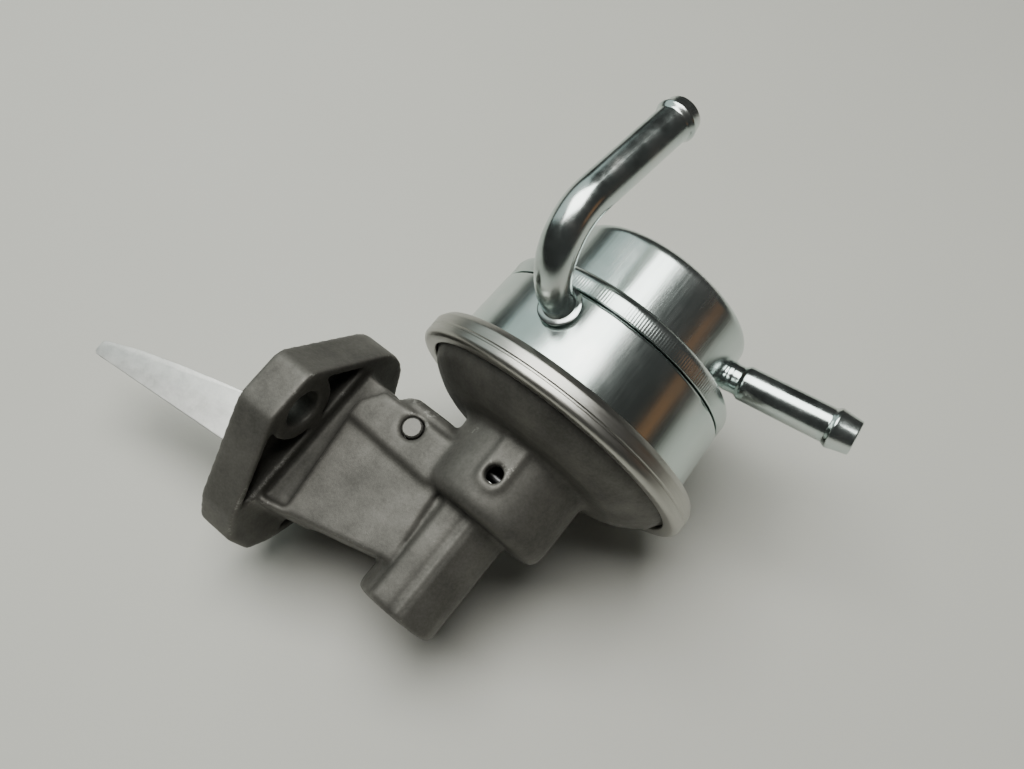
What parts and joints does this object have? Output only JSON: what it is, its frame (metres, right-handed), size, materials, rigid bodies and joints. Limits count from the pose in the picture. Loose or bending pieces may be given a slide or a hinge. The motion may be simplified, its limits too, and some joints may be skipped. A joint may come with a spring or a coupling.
{
  "type": "mechanical fuel pump",
  "caption": "Cam-driven diaphragm fuel pump: cast lower body with flange and rocker arm, crimped steel cans, a straight inlet pipe and a bent outlet pipe.",
  "frame": {"origin": "on the flange's mounting face, in its middle plane, level with the axis of the pivot pin", "axes": "+X from the engine towards the can, +Y up the axis of the can from the spring boss to the upper can, +Z along the pivot pin towards the side with the vent and the bent pipe"},
  "size_m": [0.1444, 0.1155, 0.0794],
  "materials": {
    "cast_aluminium": "matte die-cast skin",
    "machined_steel": "blasted and ground",
    "satin_steel": "satin rolled sheet",
    "zinc_plate": "bright zinc plate",
    "pressed_steel": "pressed sheet",
    "spring_steel": "oiled wire",
    "die_cast_zinc": "die-cast",
    "brass": "pressed sheet",
    "seal_rubber": "matte"
  },
  "bodies": {
    "pump_body": {"lower_body": "cast_aluminium", "pivot_pin": "machined_steel", "crimp_ring": "satin_steel", "middle_can": "zinc_plate", "upper_can": "zinc_plate", "partition": "zinc_plate", "valve_body": "die_cast_zinc", "inlet_valve_cage": "brass", "inlet_valve_spring": "spring_steel", "outlet_valve_cage": "brass", "outlet_valve_spring": "spring_steel", "diaphragm": "seal_rubber", "oil_seal": "seal_rubber", "spring_retainer": "pressed_steel", "diaphragm_spring": "spring_steel", "arm_return_spring": "spring_steel", "inlet_pipe": "zinc_plate", "outlet_pipe": "zinc_plate"},
    "rocker": {"rocker_arm": "machined_steel"},
    "diaphragm_group": {"pull_rod": "machined_steel", "upper_diaphragm_plate": "pressed_steel", "lower_diaphragm_plate": "pressed_steel", "rod_rivet_washer": "pressed_steel"},
    "inlet_valve": {"inlet_valve_disc": "seal_rubber"},
    "outlet_valve": {"outlet_valve_disc": "seal_rubber"}
  },
  "joints": [
    {"name": "rocker_pivot", "type": "hinge", "parent": "pump_body", "child": "rocker", "pos_m": [0.0254, 0, 0], "axis": [0, 0, 1], "range_deg": [-8, 0], "stiffness_Nm_per_rad": 2, "springref_deg": 2.86, "deforming": ["arm_return_spring"]},
    {"name": "diaphragm_stroke", "type": "slide", "parent": "pump_body", "child": "diaphragm_group", "axis": [0, 1, 0], "range_m": [-0.003, 0], "deforming": ["diaphragm", "diaphragm_spring"]},
    {"name": "inlet_valve_lift", "type": "slide", "parent": "pump_body", "child": "inlet_valve", "axis": [0, -1, 0], "range_m": [0, 0.0012], "stiffness_N_per_m": 60, "springref_m": -0.001, "deforming": ["inlet_valve_spring"]},
    {"name": "outlet_valve_lift", "type": "slide", "parent": "pump_body", "child": "outlet_valve", "axis": [0, 1, 0], "range_m": [0, 0.0012], "stiffness_N_per_m": 60, "springref_m": -0.001, "deforming": ["outlet_valve_spring"]}
  ],
  "couplings": [
    {"joint": "diaphragm_stroke", "follows": "rocker_pivot", "m_per_rad": 0.0202}
  ]
}
